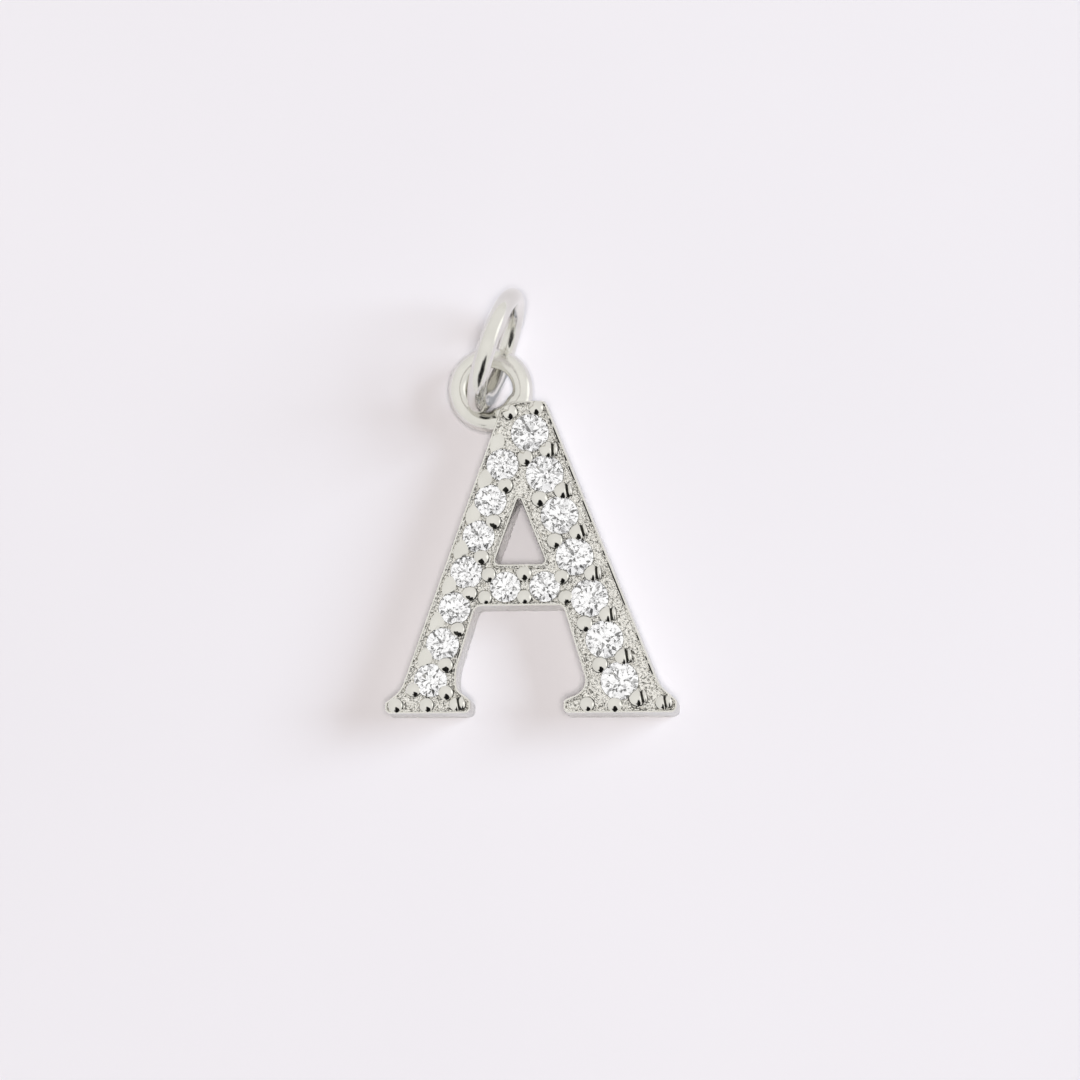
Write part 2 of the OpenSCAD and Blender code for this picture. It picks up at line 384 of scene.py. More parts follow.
# %% Pebbled ground
pebbles_per_mm = 16
grit_per_mm = 27
pebble_depth_mm = 0.035
grit_depth_mm = 0.02
groove_shade = (0.72, 0.22)
grit_shade = (-0.12, 0.26)
ground_rough = (0.16, 0.32)
# Painted shade in the grooves and painted highlights on the pebble tops.
painted_groove_shade = (0.16, 0.155, 0.14)
painted_pebble_highlight = (1.0, 0.985, 0.95)


def pebbled_rhodium(name):
    material, nodes, links, shader, where = new_material(name)
    pebbles = nodes.new("ShaderNodeTexVoronoi")
    pebbles.feature = "SMOOTH_F1"
    pebbles.inputs["Scale"].default_value = per_mm(pebbles_per_mm)
    pebbles.inputs["Smoothness"].default_value = 0.4
    links.new(where.outputs["Object"], pebbles.inputs["Vector"])
    grit = noise(nodes, links, where, per_mm(grit_per_mm), detail=3)
    far = pebbles.outputs["Distance"]
    shader.inputs["Metallic"].default_value = 1
    shade = nodes.new("ShaderNodeMath")
    shade.operation = "ADD"
    painted_grooves = spread(nodes, links, far, *groove_shade, from_low=0.2, from_high=0.8)
    links.new(painted_grooves, shade.inputs[0])
    links.new(spread(nodes, links, grit, *grit_shade), shade.inputs[1])
    colour = tinted(
        nodes, links, shade.outputs["Value"], painted_groove_shade, painted_pebble_highlight, dark_at=0.27, pale_at=0.48
    )
    links.new(colour, shader.inputs["Base Color"])
    links.new(spread(nodes, links, grit, *ground_rough), shader.inputs["Roughness"])
    coarse = bump(nodes, links, far, pebble_depth_mm)
    links.new(bump(nodes, links, grit, grit_depth_mm, under=coarse), shader.inputs["Normal"])
    return material


pebbled_ground = pebbled_rhodium("pebbled_ground")
print("materials:", pebbled_ground.name)

# %% [markdown]
# The casting is a thick plate with a soft edge. Extruding a curve would give it a plain
# bevel, so it is built as a loft instead: the outline is repeated at a short list of
# insets and heights, from the back over the wall and the soft edge to the rim and down to the
# field. The hole of the letter goes through the same list, moved outward.

# %% Profile of the edge
# Columns: how far in from the outline, height, finish.
edge_profile = [
    (0.100, 0.000, "wall"),
    (0.035, 0.020, "wall"),
    (0.000, 0.080, "wall"),
    (0.000, 0.800, "wall"),
    (0.000, 1.640, "wall"),
    (0.006, 1.668, "polish"),
    (0.018, 1.690, "polish"),
    (0.062, 1.700, "polish"),
    (0.076, 1.680, "pebble"),
    (0.106, 1.664, "pebble"),
    (0.135, 1.642, "pebble"),
    (0.165, 1.610, "pebble"),
]
# The last finish, cut, is painted near black: painted shade for narrow hollows and the dashes.
finishes = ["polish", "pebble", "wall", "cut"]
print("rings round the edge:", len(edge_profile))

# %% [markdown]
# Where a stone's seat comes near the edge, the inner outlines make way for it, so the metal there
# is a thin wall. Just inside the rim along two of the edges, short runs of faces are painted near
# black as painted shade dashes, with no groove in the mesh. What looks random comes from one
# seeded shaker, so every run gives the same.

# %% Loft the walls and the rim
seed = 16
shaker = random.Random(seed)
pebble_height = 0.03
seat_hug = 0.008
seat_wall = 0.008
wall_slope = 3
shade_dash_bands = (7, 8)
shade_dash_reach = 0.15
shade_dash_runs = (1, 2, 3, 5, 9)
# Columns: two corners as shares of the width and the height, share of the edge with painted shade
# dashes.
shade_dash_edges = [
    ((0.441, 0.089), (0.050, 1.000), 0.34),  # outer edge of the heavy stroke
    ((-0.253, 0.078), (-0.188, 0.343), 0.30),  # inner edge of the light stroke
]

body_points = []
body_faces = []
body_finish = []


def beside(spot, a, b):
    way = b - a
    share = (spot - a).dot(way) / way.dot(way)
    return 0 < share < 1 and (spot - a - way * share).length < shade_dash_reach


def shade_dash_marks(ring):
    """True for the short runs of a ring's points that get painted shade dashes."""
    marks = []
    left = 0
    in_dash = False
    for spot in ring:
        share = sum(s for a, b, s in shade_dash_edges if beside(spot, at(*a), at(*b)))
        if left == 0:
            in_dash = shaker.random() < share
            left = shaker.choice(shade_dash_runs)
        left -= 1
        marks.append(in_dash and share > 0)
    return marks


def clear_of_seats(spot, inset):
    """Moves a point of the pebbled slope outward, if a stone's seat comes too near to it."""
    wall = seat_wall + (edge_profile[-1][0] - inset) / wall_slope
    for middle, width in stones.values():
        reach = width / 2 + seat_hug + wall
        away = spot - middle
        if away.length < reach:
            spot = middle + away.normalized() * reach
    return spot


def loft_edge(corners, sign):
    """Adds the lofted edge of one outline and returns where its first and last ring start."""
    starts = []
    for inset, z, finish in edge_profile:
        starts.append(len(body_points))
        shake = pebble_height / 2 if finish == "pebble" else 0
        ring = evenly(corners, sign * inset)
        if finish == "pebble":
            ring = [clear_of_seats(p, inset) for p in ring]
        body_points.extend((p.x, p.y, z + shaker.uniform(-shake, shake)) for p in ring)
    count = len(body_points) - starts[-1]
    marks = shade_dash_marks(evenly(corners, 0))
    for k in range(len(starts) - 1):
        body_faces.extend(band(starts[k], starts[k + 1], count, flip=sign < 0))
        finish = finishes.index(edge_profile[k + 1][2])
        # Faces in the dash bands take the near black finish: painted shade dashes.
        cut = finishes.index("cut") if k in shade_dash_bands else finish
        body_finish.extend(cut if mark else finish for mark in marks)
    return starts[0], starts[-1], count


outer_back, outer_top, outer_count = loft_edge(letter_corners, 1)
hole_back, hole_top, hole_count = loft_edge(counter_corners, -1)
print("lofted points:", len(body_points))

# %% [markdown]
# The back is one flat face with the hole left out. It is hidden in the photograph, and a plain
# flat back is what such a charm usually has. One large polygon can't have a hole in Blender, so a
# constrained Delaunay triangulation fills it: it keeps every border edge and fills everything
# round the points, and of its triangles those between the borders stay. Along a straight border
# it can make slivers of three points in one line, which have no area and are dropped first.

# %% Close the back
least_area = 1e-6
same_spot = 1e-6


def inside(p, loop):
    """True where a line to the right of the point crosses the loop an odd number of times."""
    found = False
    for a, b in zip(loop, loop[1:] + loop[:1]):
        if (a.y > p.y) != (b.y > p.y) and p.x < a.x + (b.x - a.x) * (p.y - a.y) / (b.y - a.y):
            found = not found
    return found


def both_rings(outer_first, hole_first):
    """Numbers and flat places of the points in a ring of the outline and a ring of the hole."""
    outer = range(outer_first, outer_first + outer_count)
    hole = range(hole_first, hole_first + hole_count)
    ids = [*outer, *hole]
    return ids, [Vector(body_points[i][:2]) for i in ids]


def has_area(triangle, points):
    a, b, c = (points[i] for i in triangle)
    return (b - a).cross(c - a) / 2 > least_area


def centre_of(triangle, points):
    return sum((points[i] for i in triangle), Vector((0, 0))) / 3


def triangulated(points, loops):
    """The points, triangles and sources of a flat sheet that keeps the edges of its loops."""
    edges = [(a, b) for loop in loops for a, b in zip(loop, loop[1:] + loop[:1])]
    cut_points, _, cut_faces, origin, _, _ = delaunay_2d_cdt(points, edges, [], 0, same_spot)
    return cut_points, [face for face in cut_faces if has_area(face, cut_points)], origin


back_ids, back_spots = both_rings(outer_back, hole_back)
border_loops = [list(range(outer_count)), list(range(outer_count, outer_count + hole_count))]
back_outline = back_spots[:outer_count]
back_hole = back_spots[outer_count:]
cut_points, cut_faces, origin = triangulated(back_spots, border_loops)
for triangle in cut_faces:
    centre = centre_of(triangle, cut_points)
    if inside(centre, back_outline) and not inside(centre, back_hole):
        body_faces.append(tuple(back_ids[origin[i][0]] for i in reversed(triangle)))
        body_finish.append(finishes.index("polish"))
print("faces with the back:", len(body_faces))

# %% [markdown]
# The field is a sheet with seventeen holes: the letter's own and one for each stone's seat.
# A boolean would cut them, but it leaves long thin triangles that can't be pebbled. The
# triangulation of the back takes the borders and a scatter of points between them just as well
# and gives an even mesh. The scattered points then rise and sink at random, and that is the
# pebbling that the casting shows between its stones.

# %% Pebble the field and open the seats
pebble_step = 0.05
pebble_jitter = 0.35
pebble_margin = 0.6 * pebble_step
seat_sides = 40

border_ids, field_points = both_rings(outer_top, hole_top)
outer_loop = field_points[:outer_count]
hole_loop = field_points[outer_count:]
field_loops = [*border_loops]
seat_rings = {}
for name, (middle, width) in stones.items():
    seat_rings[name] = len(field_points)
    field_loops.append(list(range(len(field_points), len(field_points) + seat_sides)))
    reach = width / 2 + seat_hug
    field_points += [middle + reach * Vector(spoke) for spoke in spokes(seat_sides)]
border_count = len(field_points)


def shaken(reach):
    return Vector([shaker.uniform(-reach, reach) for _ in range(2)])


def on_metal(p, margin):
    for middle, width in stones.values():
        if (p - middle).length < width / 2 + seat_hug + margin:
            return False
    return inside(p, outer_loop) and not inside(p, hole_loop)


def clear_of_border(p, margin):
    near = (q for q in field_points[:border_count] if abs(p.y - q.y) < margin)
    return all((p - q).length > margin for q in near)


rows = int(letter_h / pebble_step)
columns = int(letter_w / pebble_step)
for row in range(rows):
    for column in range(columns):
        grid = Vector((column + 0.5 * (row % 2), row)) + shaken(pebble_jitter)
        spot = Vector((letter_low.x, baseline)) + grid * pebble_step
        if on_metal(spot, pebble_margin) and clear_of_border(spot, pebble_margin):
            field_points.append(spot)

cut_points, cut_faces, origin = triangulated(field_points, field_loops)
print("pebbles:", len(field_points) - border_count, "triangles:", len(cut_faces))

# %% [markdown]
# Two kinds of points meet in that sheet. Those on the letter's own borders already exist as the
# last rings of the loft, so they are used again, and the sheet closes without a seam. The rest
# are new. Round each stone the metal is pushed up against the girdle, so the border of a seat
# stands a little higher than the field. Under it the seat is a cone that follows the stone's
# pavilion with a little clearance, as a setting burr cuts it.

# %% Join the field and the seats to the casting
seat_lip = 0.03
pebble_sink = 0.35
seam_slack = 0.003
cone_waist = 0.35

known = dict(enumerate(border_ids))
place_of = {}
for i, spot in enumerate(cut_points):
    sources = origin[i]
    if sources and sources[0] in known:
        place_of[i] = known[sources[0]]
        continue
    on_border = bool(sources) and sources[0] < border_count
    lift = seat_lip if on_border else shaker.uniform(-pebble_sink, 1) * pebble_height
    place_of[i] = len(body_points)
    body_points.append((spot.x, spot.y, field_z + lift))
    if on_border:
        known[sources[0]] = place_of[i]

for triangle in cut_faces:
    if on_metal(centre_of(triangle, cut_points), -seam_slack):
        body_faces.append(tuple(place_of[i] for i in triangle))
        body_finish.append(finishes.index("pebble"))

for name, first in seat_rings.items():
    middle, width = stones[name]
    depth = pavilion_share * width + 2 * seat_gap
    inner = len(body_points)
    for i in range(seat_sides):
        spot = Vector(body_points[known[first + i]][:2])
        ring_spot = middle + (spot - middle) * cone_waist
        body_points.append((*ring_spot, girdle_z - depth * (1 - cone_waist)))
    tip = len(body_points)
    body_points.append((*middle, girdle_z - depth))
    for i in range(seat_sides):
        j = (i + 1) % seat_sides
        body_faces.append((known[first + i], known[first + j], inner + j, inner + i))
        body_faces.append((inner + i, inner + j, tip))
        body_finish.extend([finishes.index("polish")] * 2)

crease_deg = 35
body_metals = [casting_polish, pebbled_ground, shaded_casting_wall, cut_painted_shade]
letter_body = new_piece(
    "letter_body", body_points, body_faces, body_metals, body_finish, crease_deg
)
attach(letter_body, "root")
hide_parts("letter_setting")

# %% [markdown]
# The stones are held by forty one beads: grains raised from the metal and pushed over the edges
# of the stones. The rows of grains follow the rows of stones, half a step off, so they
# are worked out from the stones' own places. Grains at the feet, the top and the crossbar keep
# to a corner or an edge of the letter, and stand in a short table.

# %% Work out where the grains stand
bead_d = 0.5
small_bead_d = 0.46
bead_rise = 0.16
heavy_outer = 0.37
heavy_inner = 0.41
light_outer = 0.38
light_inner = 0.30
heavy_inner_gaps = [0, 1, 2, 4, 5]

# Columns: a corner or a place on an edge as shares of the width and the height, then the way
# right and up from there in widths of a small bead.
free_beads = [
    (-0.063, 1.000, -0.14, -0.80),  # flat top, left
    (0.050, 1.000, -0.62, -0.52),  # flat top, right
    (-0.126, 0.477, -0.38, -0.69),  # crossbar, upper left
    (-0.022, 0.477, 0.00, -0.69),  # crossbar, upper middle
    (0.054, 0.477, 1.06, -0.88),  # crossbar, upper right
    (-0.188, 0.343, 0.62, 0.62),  # crossbar, lower left
    (-0.021, 0.343, 0.00, 0.62),  # crossbar, lower middle
    (0.111, 0.343, 0.14, 0.62),  # crossbar, lower right
    (-0.500, 0.002, 0.74, 0.56),  # left foot, outer
    (-0.357, 0.002, 0.00, 0.58),  # left foot, middle
    (-0.205, 0.002, -0.98, 0.65),  # left foot, inner
    (-0.253, 0.078, -0.74, -0.24),  # above the left foot, inner
    (-0.446, 0.076, 0.88, 0.04),  # above the left foot, outer
    (0.112, 0.000, 1.62, 0.62),  # right foot, inner
    (0.288, 0.000, 0.00, 0.54),  # right foot, middle
    (0.500, 0.000, -0.96, 0.69),  # right foot, outer
]


def row_line(names):
    first = stones[names[0]][0]
    last = stones[names[-1]][0]
    step = (last - first) / (len(names) - 1)
    return first, step


light_first, light_step = row_line(light_names)
heavy_first, heavy_step = row_line(heavy_names)
light_side = left_of(-light_step.normalized())
heavy_side = left_of(heavy_step.normalized())

beads = []
for i in range(len(heavy_names)):
    beads.append((heavy_first + heavy_step * (i + 0.5) + heavy_side * heavy_outer, bead_d))
for i in heavy_inner_gaps:
    beads.append((heavy_first + heavy_step * (i + 0.5) - heavy_side * heavy_inner, bead_d))
for i in range(len(light_names)):
    beads.append((light_first + light_step * (i - 0.5) + light_side * light_outer, small_bead_d))
for i in range(1, len(light_names)):
    beads.append((light_first + light_step * (i - 0.5) - light_side * light_inner, small_bead_d))
for share_x, share_y, right, up in free_beads:
    beads.append((at(share_x, share_y) + Vector((right, up)) * small_bead_d, small_bead_d))
print("grains:", len(beads))

# %% [markdown]
# A grain is turned as a short pin with a crowned end, because the tool that shapes it cuts
# straight down round it and leaves a hair of a moat at its foot. The crown isn't quite a ball:
# halfway out its slope hardly changes, like a shoulder, and that makes the dark fleck of the
# room's card larger there than it would be on a ball. Where a grain reaches over a stone,
# its points slide out to the stone's crown with the clearance between, which is what the beading
# tool does to the metal. Some grains were cut down on one side by the graver, so a function
# squashes a grain there.

# %% Shape of one grain
bead_top = body_t + bead_rise
bead_sides = 36
crown_steps = 10
shoulder = 0.13
pin_steps = 5
round_bow = 47
moat = 0.014
moat_rise = 0.035
moat_depth = 0.05
moat_bands = 3
cut_flatness = 2.2


def crown_reach(width, z):
    """How far from its middle a stone and its clearance reach at a height over the girdle."""
    r = width / 2
    foot = girdle_share * width + seat_gap / 2
    crown_top = (girdle_share + crown_share) * width + 2 * seat_gap
    if z > crown_top:
        return 0
    if z < foot:
        return r + seat_gap
    return r + seat_gap - r * (1 - table_share) * (z - foot) / (crown_top - foot)


def pushed_over(p):
    spot = Vector(p[:2])
    for middle, width in stones.values():
        reach = crown_reach(width, p[2] - girdle_z)
        away = spot - middle
        if away.length < reach:
            spot = middle + away.normalized() * reach
    return (spot.x, spot.y, p[2])


def grain_profile(d, top, bow_deg):
    """A pin whose crown slopes from nothing in its middle to an angle at its edge."""
    r = d / 2
    crown = [(0, top)]
    for k in range(crown_steps):
        share = (k + 0.5) / crown_steps
        slope = math.radians(bow_deg) * (share + shoulder * math.sin(2 * math.pi * share))
        drop = math.tan(slope) * r / crown_steps
        crown.append((r * (k + 1) / crown_steps, crown[-1][1] - drop))
    pin_top = crown[-1][1]
    foot = field_z + moat_rise
    floor_z = field_z - moat_depth
    profile = [(0, floor_z), (r + moat, floor_z), (r + moat, foot)]
    profile += [(r, foot + (pin_top - foot) * k / pin_steps) for k in range(pin_steps)]
    return profile + crown[::-1]


def cut_down(x, r, cut_at):
    """Squashes what lies beyond the middle to a nearly straight side, with the moat outside it."""
    if x < 0:
        return x
    return cut_at * (1 - (1 - min(1, x / r)) ** cut_flatness) + max(0, x - r)


print("a grain's profile has", len(grain_profile(bead_d, bead_top, round_bow)), "points")

# %% [markdown]
# No two grains are alike, so each one leans a little in a direction of its own. Unless the call
# says otherwise, a grain has bright polish above and is painted black in its moat, as painted
# shade.

# %% Raise one grain
most_lean = 0.12
grain_points = []
grain_faces = []
grain_finish = []
grain_metals = [grain_polish, cut_painted_shade, casting_polish]
# The second finish is near black: painted shade in the moats, the floors of cuts and the nicks.
bright, shade_black, plain = range(len(grain_metals))


def raise_grain(
    middle, across, along, top, bow_deg, toward=None, cut_at=None, finish=bright, foot=shade_black
):
    """Adds one grain. Its width across is measured in the direction toward, its length along."""
    points, faces = turned(grain_profile(along, top, bow_deg), bead_sides)
    angle = toward.angle_signed(Vector((1, 0))) if toward else shaker.uniform(0, math.pi)
    turn = Matrix.Rotation(angle, 2)
    lean = shaken(most_lean)
    first = len(grain_points)
    for x, y, z in points:
        if cut_at:
            x = cut_down(x, along / 2, cut_at * along / across)
        spot = turn @ Vector((x * across / along, y))
        height = z + lean.dot(spot) if z > field_z else z
        grain_points.append(pushed_over((*(spot + middle), height)))
    grain_faces.extend(tuple(first + i for i in face) for face in faces)
    # The moat's faces take the foot finish, near black by default: painted shade.
    moat_faces = moat_bands * bead_sides
    grain_finish.extend([foot] * moat_faces + [finish] * (len(faces) - moat_faces))


print("finishes of a grain:", [metal.name for metal in grain_metals])

# %% [markdown]
# The beads were listed row by row, so a bead's place in the list says which kind it is. The
# heavy stroke's outer ones were split: a bead, the floor of the graver's cut beside it, painted
# near black as painted shade, and the burr that the graver threw up. The light stroke's inner ones
# are round and have a small nick, painted near black as painted shade. Outside it has flat pads
# that run into the rim: each is longer than the gap that it stands in, so the stones press it to a
# wedge. Two beads in the corners of the feet are split as well, and the rest are round.

# %% Kinds of grains and their sizes
heavy_cut_side = Vector((0.986, 0.164))
light_cut_side = Vector((0.94, -0.34))
most_twist = 0.2
cut_width = 0.04
cut_floor_spare = 0.06
cut_drop = 0.07
cut_bow = 30

split_across = 0.56
split_along = 0.52
split_at = 0.10
split_drift = 0.02
split_length = 0.37
burr_across = 0.15
burr_along = 0.40
burr_drop = 0.03
burr_bow = 40

pad_across = 0.44
pad_along = 0.66
pad_drop = 0.11
pad_bow = 20

nick_place = Vector((0.02, -0.09))
nick_across = 0.26
nick_along = 0.25
nick_drop = 0.012
nick_flat = 0.03

corner_across = 0.46
corner_along = 0.44
corner_at = 0.05
corner_length = 0.32
corner_burr_at = 0.19
corner_burr_across = 0.2
corner_burr_along = 0.36
corner_burr_drop = 0.02

narrowest = 0.94

pads_from = len(heavy_names) + len(heavy_inner_gaps)
light_inner_from = pads_from + len(light_names)
free_from = light_inner_from + len(light_names) - 1
corner_cuts = (free_from + 10, free_from + 15)  # left foot, inner, and right foot, outer
print("split grains:", len(heavy_names) + len(corner_cuts), "flat pads:", len(light_names))

# %% [markdown]
# The floor of a cut, a burr and a nick are low grains too, that stand partly inside the one that
# was cut. A hand never cuts twice at one angle, so the cuts along the strokes are each turned a
# little.

# %% Raise every grain


def raise_cut_grain(middle, across, along, cut_at, side, length):
    raise_grain(middle, across, along, bead_top, round_bow, side, cut_at)
    floor_at = middle + side * (cut_at + cut_width / 2)
    floor_across = cut_width + cut_floor_spare
    # The cut's floor is painted near black: painted shade.
    raise_grain(floor_at, floor_across, length, bead_top - cut_drop, cut_bow, side, finish=shade_black)


def twisted(side):
    return Matrix.Rotation(shaker.uniform(-most_twist, most_twist), 2) @ side


for i, (middle, d) in enumerate(beads):
    if i < len(heavy_names):
        cut_at = split_at + shaker.uniform(-split_drift, split_drift)
        side = twisted(heavy_cut_side)
        raise_cut_grain(middle, split_across, split_along, cut_at, side, split_length)
        burr_at = middle + side * (cut_at + cut_width + burr_across / 2)
        raise_grain(burr_at, burr_across, burr_along, bead_top - burr_drop, burr_bow, side)
    elif pads_from <= i < light_inner_from:
        top = bead_top - pad_drop
        raise_grain(
            middle, pad_across, pad_along, top, pad_bow, light_side, finish=plain, foot=plain
        )
    elif light_inner_from <= i < free_from:
        side = twisted(light_cut_side)
        raise_grain(middle, d, d, bead_top, round_bow)
        nick_at = middle + nick_place
        top = bead_top - nick_drop
        # The nick is painted near black: painted shade.
        raise_grain(nick_at, nick_across, nick_along, top, cut_bow, side, nick_flat, finish=shade_black)
    elif i in corner_cuts:
        side = heavy_cut_side
        raise_cut_grain(middle, corner_across, corner_along, corner_at, side, corner_length)
        burr_at = middle + side * corner_burr_at
        top = bead_top - corner_burr_drop
        raise_grain(burr_at, corner_burr_across, corner_burr_along, top, burr_bow, side)
    else:
        raise_grain(middle, d * shaker.uniform(narrowest, 1), d, bead_top, round_bow)

setting_beads = new_piece(
    "setting_beads", grain_points, grain_faces, grain_metals, grain_finish, crease_deg
)
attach(setting_beads, "root")
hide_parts("letter_setting")

# %% [markdown]
# The hanging loop is a ring of round wire that is cast or soldered to the letter's upper left
# corner. A torus of even thickness would look stuck on. Solder creeps up the wire where it
# enters the letter, so the wire swells there and thins out again within a tenth of a millimetre
# or two.

# %% Bend the hanging loop
loop_od = 2.68
loop_wire = 0.64
jump_wire = 0.6
link_gap = 0.04
loop_share = -0.145
solder_swell = 0.10
solder_reach = 0.22
loop_steps = 160
wire_sides = 32
no_length = 1e-12

loop_r = (loop_od - loop_wire) / 2
loop_z = jump_wire + link_gap + loop_wire / 2
loop_middle = Vector((loop_share * letter_w, letter_high.y - loop_od / 2, loop_z))
top_outline = rounded(letter_corners, 0)


def outside_by(spot):
    """Distance of a point from the letter's edge, 0 inside the letter."""
    if inside(spot, top_outline):
        return 0
    gaps = []
    for a, b in zip(top_outline, top_outline[1:] + top_outline[:1]):
        side = b - a
        share = min(1, max(0, (spot - a).dot(side) / max(side.dot(side), no_length)))
        gaps.append((spot - a - side * share).length)
    return min(gaps)


def soldered_radius(turn):
    spot = loop_middle.xy + loop_r * Vector((math.cos(turn), math.sin(turn)))
    creep = math.exp(-((outside_by(spot) / solder_reach) ** 2))
    return loop_wire / 2 + solder_swell * creep


loop_place = Matrix.Translation(loop_middle)
points, faces = bent_wire(loop_r, loop_steps, wire_sides, soldered_radius, loop_place)
hanging_loop = new_piece("hanging_loop", points, faces, [wire_polish])
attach(hanging_loop, "root")
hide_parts("letter_setting")

# %% [markdown]
# The jump ring is a length of round wire, sawn from a coil and pressed shut. It isn't soldered,
# so a hair line shows where its ends meet. It stands in the loop at the turn and lean that the
# photograph shows. Its middle and its height come from the solid's box, and only its turn, lean
# and wire are written here.

# %% Bend the jump ring
jump_turn = 18.8
jump_lean = 2.5
jump_steps = 220
seam_at_deg = 282
seam_deg = 0.5
end_crease_deg = 50

jump_low, jump_high = (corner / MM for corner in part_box("jump_ring"))
jump_r = (jump_high.z - jump_low.z - jump_wire) / 2 / math.cos(math.radians(jump_lean))
jump_place = (
    Matrix.Translation((jump_low + jump_high) / 2)
    @ Matrix.Rotation(math.radians(-jump_turn), 4, "Z")
    @ Matrix.Rotation(math.radians(90 - jump_lean), 4, "Y")
)
start_deg = seam_at_deg + seam_deg / 2
sweep_deg = 360 - seam_deg


def even_radius(turn):
    return jump_wire / 2


points, faces = bent_wire(
    jump_r, jump_steps, wire_sides, even_radius, jump_place, start_deg, sweep_deg
)
jump_ring_wire = new_piece(
    "jump_ring_wire", points, faces, [wire_polish], sharp_deg=end_crease_deg
)
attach(jump_ring_wire, "root")
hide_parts("jump_ring")
print("jump ring radius", round(jump_r, 3), "mm")

# %% [markdown]
# The stones are the solids themselves: each has a table, stars, mains and a pavilion, and
# needs no new mesh. A round colourless stone is mostly its refraction, so the material is clear
# glass with the high index of zirconia. Polishing leaves a very faint grain on the facets,
# which a noise of almost no height gives, and keeps sixteen stones from flashing alike.

# %% Cut stones
polish_grain_per_mm = 6
polish_depth_mm = 0.0005
zirconia_index = 2.16
stone_rough = (0.0, 0.02)
stone_dark = (0.97, 0.975, 0.98)
stone_pale = (1.0, 1.0, 1.0)


def clear_zirconia(name):
    material, nodes, links, shader, where = new_material(name)
    grain = noise(nodes, links, where, per_mm(polish_grain_per_mm))
    shader.inputs["Transmission Weight"].default_value = 1
    shader.inputs["IOR"].default_value = zirconia_index
    links.new(tinted(nodes, links, grain, stone_dark, stone_pale), shader.inputs["Base Color"])
    links.new(spread(nodes, links, grain, *stone_rough), shader.inputs["Roughness"])
    links.new(bump(nodes, links, grain, polish_depth_mm), shader.inputs["Normal"])
    return material


zirconia = clear_zirconia("clear_zirconia")
for name in stones:
    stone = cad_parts[name]
    stone.data.materials.clear()
    stone.data.materials.append(zirconia)
print("stones dressed:", len(stones), "material", zirconia.name)

# %% [markdown]
# The pendant lies on a plain pale surface. A hint of unevenness in its colour keeps it from
# looking like a void. The floor is part of the stage and not of the object.

# %% Floor
board_clouds_per_m = 40
board_rough = 0.75
board_dark = (0.80, 0.79, 0.82)
board_pale = (0.82, 0.81, 0.84)


def pale_board(name):
    material, nodes, links, shader, where = new_material(name)
    clouds = noise(nodes, links, where, board_clouds_per_m)
    links.new(tinted(nodes, links, clouds, board_dark, board_pale), shader.inputs["Base Color"])
    shader.inputs["Roughness"].default_value = board_rough
    return material


floor_reach = 0.6
floor_mesh = bpy.data.meshes.new("floor")
floor_corners = [(-1, -1, 0), (1, -1, 0), (1, 1, 0), (-1, 1, 0)]
floor_mesh.from_pydata([Vector(p) * floor_reach for p in floor_corners], [], [(0, 1, 2, 3)])
floor_mesh.materials.append(pale_board("pale_board"))
floor = bpy.data.objects.new("floor", floor_mesh)
bpy.context.scene.collection.objects.link(floor)
print("floor:", floor_reach * 2, "m wide")

# %% [markdown]
# Bright metal shows the room more than itself. The room is a sky that is mixed with masks: a mask
# is 1 in one part of the sky and 0 in the rest. A card cut by hand has ragged edges, so a noise
# can fray the edge of a mask.

# %% Masks for the sky
frays_scale = 3.5


def direction(azimuth_deg, elevation_deg):
    """Azimuth is counted from +X toward +Y."""
    azimuth = math.radians(azimuth_deg)
    elevation = math.radians(elevation_deg)
    flat = math.cos(elevation)
    return Vector((flat * math.cos(azimuth), flat * math.sin(azimuth), math.sin(elevation)))


def sky_mask(nodes, links, where, toward, reach_deg, soft_deg, ragged=0.0):
    """1 within reach of a direction, fading to 0 over the soft edge, which may be ragged."""
    dot = nodes.new("ShaderNodeVectorMath")
    dot.operation = "DOT_PRODUCT"
    dot.inputs[1].default_value = toward
    links.new(where.outputs["Generated"], dot.inputs[0])
    edge = nodes.new("ShaderNodeMapRange")
    edge.interpolation_type = "SMOOTHSTEP"
    edge.inputs["From Min"].default_value = math.cos(math.radians(reach_deg + soft_deg))
    edge.inputs["From Max"].default_value = math.cos(math.radians(reach_deg))
    reach = dot.outputs["Value"]
    if ragged:
        frays = nodes.new("ShaderNodeTexNoise")
        frays.inputs["Scale"].default_value = frays_scale
        links.new(where.outputs["Generated"], frays.inputs["Vector"])
        shift = nodes.new("ShaderNodeMath")
        shift.operation = "MULTIPLY_ADD"
        shift.inputs[1].default_value = ragged
        links.new(frays.outputs["Fac"], shift.inputs[0])
        links.new(reach, shift.inputs[2])
        centred = nodes.new("ShaderNodeMath")
        centred.operation = "SUBTRACT"
        centred.inputs[1].default_value = ragged / 2
        links.new(shift.outputs["Value"], centred.inputs[0])
        reach = centred.outputs["Value"]
    links.new(reach, edge.inputs["Value"])
    return edge.outputs["Result"]


def sky_mix(nodes, links, mask, under, over):
    """Shows the colour or output over where the mask is 1, and the one under where it is 0."""
    mix = nodes.new("ShaderNodeMix")
    mix.data_type = "RGBA"
    links.new(mask, mix.inputs["Factor"])
    for socket, colour in (("A", under), ("B", over)):
        if isinstance(colour, tuple):
            mix.inputs[socket].default_value = (*colour, 1)
        else:
            links.new(colour, mix.inputs[socket])
    return mix.outputs["Result"]


print("helpers ready: direction, sky_mask, sky_mix")

# %% [markdown]
# The sky is an even ivory grey all round. A black card beyond the foot of the letter makes the
# black fleck that nearly every grain wears in the photograph, and a bright pane low at the right
# makes the highlights of the rings.

